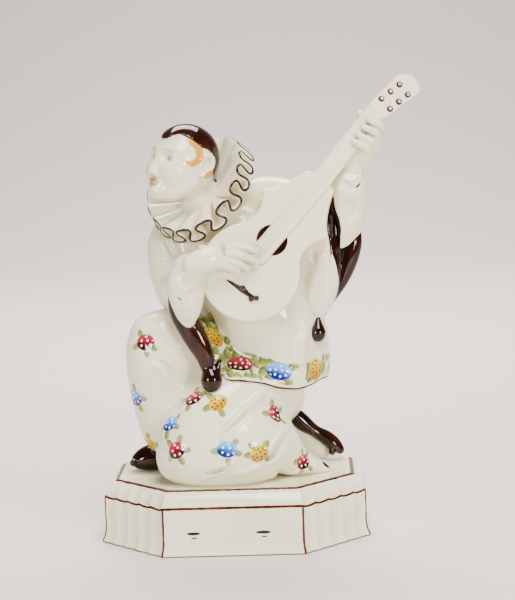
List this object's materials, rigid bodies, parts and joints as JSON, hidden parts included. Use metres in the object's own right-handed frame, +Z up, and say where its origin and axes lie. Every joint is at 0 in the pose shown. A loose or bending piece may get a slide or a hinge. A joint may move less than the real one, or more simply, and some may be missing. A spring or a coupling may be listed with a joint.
{
  "type": "glazed porcelain comedy figurine with a cittern",
  "caption": "Glazed porcelain figurine of a ruffed comedy player in loose smock and trousers, kneeling to play a cittern on a fluted octagonal plinth.",
  "frame": {"origin": "middle of the plinth's underside", "axes": "+Z up, +X to the viewer's right along the plinth's long side, -Y towards the viewer"},
  "size_m": [0.1724, 0.114, 0.2379],
  "materials": {
    "porcelain": "glossy"
  },
  "bodies": {
    "root": {"figure": "porcelain"}
  },
  "joints": []
}
